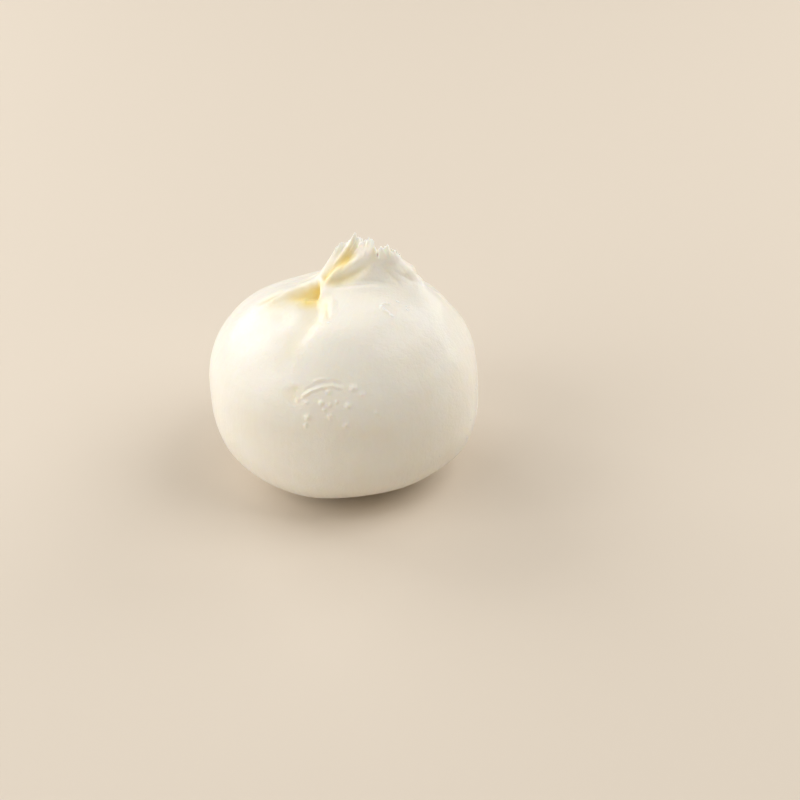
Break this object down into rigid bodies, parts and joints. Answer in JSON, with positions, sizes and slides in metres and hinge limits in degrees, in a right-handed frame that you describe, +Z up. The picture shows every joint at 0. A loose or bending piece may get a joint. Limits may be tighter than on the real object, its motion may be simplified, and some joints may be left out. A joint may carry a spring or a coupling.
{
  "type": "burrata",
  "caption": "Round fresh cheese pouch of stretched curd, gathered at the top into a short torn neck, standing on a small flat foot.",
  "frame": {"origin": "on the table under the middle of the pouch, at the centre of the flat foot's plane", "axes": "+Z up through the pouch, +Y to the back, away from the side with the deep pocket and the front lobe, +X to the right of someone who looks at that side"},
  "size_m": [0.0866, 0.0854, 0.0786],
  "materials": {
    "curd_skin": "satin"
  },
  "bodies": {
    "root": {"burrata": "curd_skin"}
  },
  "joints": []
}
